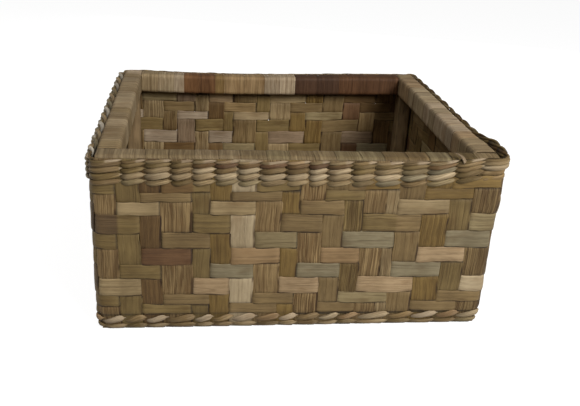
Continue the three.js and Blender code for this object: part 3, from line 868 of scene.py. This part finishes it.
def strand(
    start, stitch_edges, tints, height, rise, front, back, thick, tall, full, tip,
    bunch=0, gather=0, tuck=0, rope=0,
):
    """One strand of a twined row, in front of every second upright strip from the start.

    With t from 0 to 1 along a stitch in front, and from 1 to 2 behind the next strip, the height follows
    -cos(pi * t). The distance outwards climbs to the front, stays there past the stitch's end and drops
    behind the next stitch. The oval section swells from a thin neck, as t^0.5 up to the full share of the
    stitch, and ends bluntly as (1 - t^5)^0.5, with a pale tip on the front. Its colour has painted shade
    at its start, under the tip before, a painted highlight towards its end and painted shade behind the
    next strip. Towards the front right corner the rows gather up to the rim, some tuck under the corner's
    leaf, and behind it they bunch out a little, all in mm. A row that is a rope on the other sides is nearly
    as thick all along there, with painted shade where it dives. At the back it runs nearly level, and on
    the left it is plumper and sits further in.
    """
    u = np.arange(column_count * stitch_steps) / stitch_steps
    along = np.interp(u, np.arange(column_count + 1), stitch_edges)
    t = np.mod(u - start - 0.12, 2)
    ahead = np.minimum(t, 1)
    share = np.interp(t, [0, 0.15, 0.4, 0.8, 1, 1.15, 1.4, 1.8, 2], [0.25, 0.6, 1, 1, 0.8, 0.3, 0, 0, 0.25])
    stitch = np.mod(np.floor(u - 0.1), column_count).astype(int)
    uneven = random.normal(0, 1, column_count)[stitch] * np.sin(np.pi * ahead)
    past_corner = along - front_length
    # Stretches of the hoop in mm: where each begins, where it ends, and how long it takes to come and go.
    bunched = bunch * within(past_corner, 4, 64, 12)
    gathered = gather * within(past_corner, -75, 95, 65)
    tucked = tuck * within(past_corner, -18, 12, 9)
    roped = rope * within(along, front_length + 50, hoop_length - 8, 14)
    roped = np.maximum(roped, min(5 * bunch, 1) * within(past_corner, 2, 88, 10))
    evened = rope * within(along, front_length + side_length + 6, hoop_length - side_length - 6, 14)
    chained = rope * within(along, hoop_length - side_length, hoop_length - 8, 14)
    swell = np.minimum(ahead / full, 1) ** 0.5 * (1 - ahead**5) ** 0.5
    swell = swell + (0.8 - swell) * roped
    grown = 0.6 * chained - 0.2 * roped
    twist = -np.cos(np.pi * t)
    steep = rise + 0.7 * chained - 0.7 * evened
    middle = height + steep * twist + gathered + 0.4 * bunched + 0.6 * roped + 0.4 * chained + 0.3 * uneven
    half_tall = (neck_tall + (tall - neck_tall) * swell) / 2 * (1 + 0.06 * uneven) + grown
    half_thick = (neck_thick + (thick - neck_thick) * swell) / 2 + 0.5 * bunched + grown
    outward = back + (front - back) * share + 0.5 * bunched - tucked - 0.3 * chained
    angle = np.linspace(np.pi, -np.pi, section_points, endpoint=False) + np.pi / section_points
    across, bulge = np.cos(angle), np.sin(angle)
    z = middle[:, None] + half_tall[:, None] * across
    out = outward[:, None] + half_thick[:, None] * bulge
    plan, normal = twine_path(along * twine_length / hoop_length)
    points = on_wall(plan[:, None], normal[:, None], z, out)
    # Painted shade at the stitch's start and behind the next strip, a painted highlight towards its end, and
    # on a rope painted shade where it dives.
    shade = np.interp(t, [0, 0.3, 0.7, 1, 1.15, 1.85, 2], [0.6, 0.9, 1.1, 1.15, 0.45, 0.45, 0.6])
    shade = shade + (0.66 + 0.4 * twist - shade) * roped
    color = tints[stitch] * shade[:, None]
    tip_start = random.uniform(0.3, 0.85, column_count)[stitch]
    pale = tip * (past_corner < 0) * within(t, tip_start, 1.1, 0.08)
    color = color + (np.array(tones["cream"]) - color) * pale[:, None]
    # The share across is near 0 at the strand's top and near 1 at its bottom, so the leaf's painted highlight
    # lies on its upper side and its painted shadow line on its lower side.
    made = strip(points, along, -strand_edge_share * across, half_tall, color, 0, 0.4, ring=True)
    # The fibres wind slowly round the strand.
    made["place"][..., 1] = 2.5 * angle + 0.12 * along[:, None]
    return made


def twined_row(node, strand_tones, place_tones, stitch_edges, loose_ends, **shape):
    """The two strands of a row with its loose ends.

    Each stitch's tone is picked from its strand's tones, and lasts till the strand is in front again, or
    from those of its place.
    """
    strands = []
    for start in range(2):
        pairs = np.repeat(random.choice(strand_tones[start], column_count // 2), 2)
        picked = np.roll(pairs, start).astype(object)
        for columns, choice in place_tones:
            picked[columns] = random.choice(choice, len(columns))
        shade = np.roll(np.repeat(random.uniform(0.9, 1.2, column_count // 2), 2), start)
        tints = np.array([tones[tone] for tone in picked]) * shade[:, None]
        strands.append(strand(start, stitch_edges, tints, **shape))
    strip_piece(node.replace("twine", "strands"), strands + loose_ends, twined_leaf, [node])


def loose_end(root, tip, arch, color):
    """A strand's cut end: an oval carried from its root to its tip, in mm, which narrows by 0.75 s^2.

    With s from 0 to 1, its path is a straight line plus the arch times 4 s (1 - s).
    """
    stations, round_points, half_wide, half_thick, length = 14, 8, 1.9, 1.1, 16
    s = np.linspace(0, 1, stations)
    root, tip = np.array(root), np.array(tip)
    path = root + (tip - root) * s[:, None] + np.array(arch) * (4 * s * (1 - s))[:, None]
    ahead = (tip - root) / np.linalg.norm(tip - root)
    side = np.cross(ahead, (0, 0, 1)) / np.linalg.norm(np.cross(ahead, (0, 0, 1)))
    upward = np.cross(side, ahead)
    angle = np.linspace(0, 2 * np.pi, round_points, endpoint=False)
    oval = half_wide * np.cos(angle)[:, None] * side + half_thick * np.sin(angle)[:, None] * upward
    points = path[:, None] + oval * (1 - 0.75 * s**2)[:, None, None]
    return strip(points, length * s, np.cos(angle), 1.6, np.tile(color, (stations, 1)), 0, 0.6)


rim_tones = [
    (["straw", "tan", "olive"], ["tan", "olive", "tan"]),
    (["brown", "olive", "tan"], ["olive", "brown", "olive"]),
    (["ash", "bone", "straw"], ["olive", "tan", "grey"]),
    (["bone", "fawn", "bone"], ["straw", "ash", "fawn"]),
    (["straw", "grey", "ash"], ["tan", "olive", "grey"]),
]
rim_heights = [159.2, 156.4, 152.2, 146.9, 141.6]
rim_talls = [2.8, 4.4, 5.2, 6.2, 4.8]
rim_bunches = [0.9, 0.7, 0.5, 0.2, 0]
rim_gathers = [4.2, 4.4, 5, 5.6, 5]
rim_tucks = [0, 0, 0, 3, 3]
rim_ropes = [1, 0.5, 0, 0, 0]
first_tones = [["olive"], ["olive", "tan"], ["tan"], ["tan", "olive"], ["tan", "straw"]]
middle_tones = [["straw", "pink"], ["brown", "russet"], ["bone", "tan"], ["bone", "fawn"], ["straw", "grey"]]
corner_tones = [["tan"], ["straw"], ["bone"], ["sand"], ["sand"]]
first_stitch, middle_stitches, next_to_last = range(1), range(5, 11), range(15, 16)
corner_stitch, bend_stitches, right_stitches = range(16, 17), range(17, 20), range(20, 30)
for row, strand_tones in enumerate(rim_tones):
    at_top = row == 0
    bend_tones = ["brown", "olive"] if row < 2 else ["tan", "olive"]
    right_tones = ["tan", "olive", "grey", "brown"] if row < 2 else ["tan", "straw", "olive"]
    left_tones = ["silver", "ash", "grey", "fawn"] if at_top else ["ash", "grey", "olive"]
    place_tones = [
        (first_stitch, first_tones[row]),
        (middle_stitches, middle_tones[row]),
        (next_to_last, ["olive", "tan"]),
        (corner_stitch, corner_tones[row]),
        (bend_stitches, bend_tones),
        (right_stitches, right_tones),
        (wall_columns["left"], left_tones),
    ]
    shape = {"height": rim_heights[row], "tall": rim_talls[row], "back": -1.4, "full": 0.3}
    shape.update({"bunch": rim_bunches[row], "gather": rim_gathers[row]})
    shape.update({"tuck": rim_tucks[row], "rope": rim_ropes[row]})
    if at_top:
        shape.update({"front": 2.4, "thick": 3, "rise": 1, "tip": 0.9})
        loose_ends = [loose_end((136, -152.5, 161), (129, -142, 166.5), (1, -2, 1.5), tones["cream"])]
    else:
        shape.update({"front": 2.6, "thick": 4.4, "rise": 1.1, "tip": 0.1})
        loose_ends = []
    twined_row(f"rim_twine_row_{row + 1}", strand_tones, place_tones, rim_edges, loose_ends, **shape)

# Twined rows round the foot.
# Two more rows hold the strips where they turn under: the upper one of a pale and a tan strand, so that its
# slanting stitches alternate, and a darker one below it, which follows the strips further in.
foot_tones = {
    2: (["cream", "bone", "cream"], ["sand", "sand", "rose"]),
    1: (["grey", "straw"], ["olive", "tan"]),
}
foot_shapes = {2: {"height": 11, "rise": 2, "tall": 8}, 1: {"height": 4.2, "rise": 0.6, "tall": 5.6}}
for row, strand_tones in foot_tones.items():
    shape = {**foot_shapes[row], "front": 1.4, "back": -1.2, "thick": 3.2, "full": 0.9, "tip": 0.2}
    twined_row(f"foot_twine_row_{row}", strand_tones, [], column_edges, [], **shape)
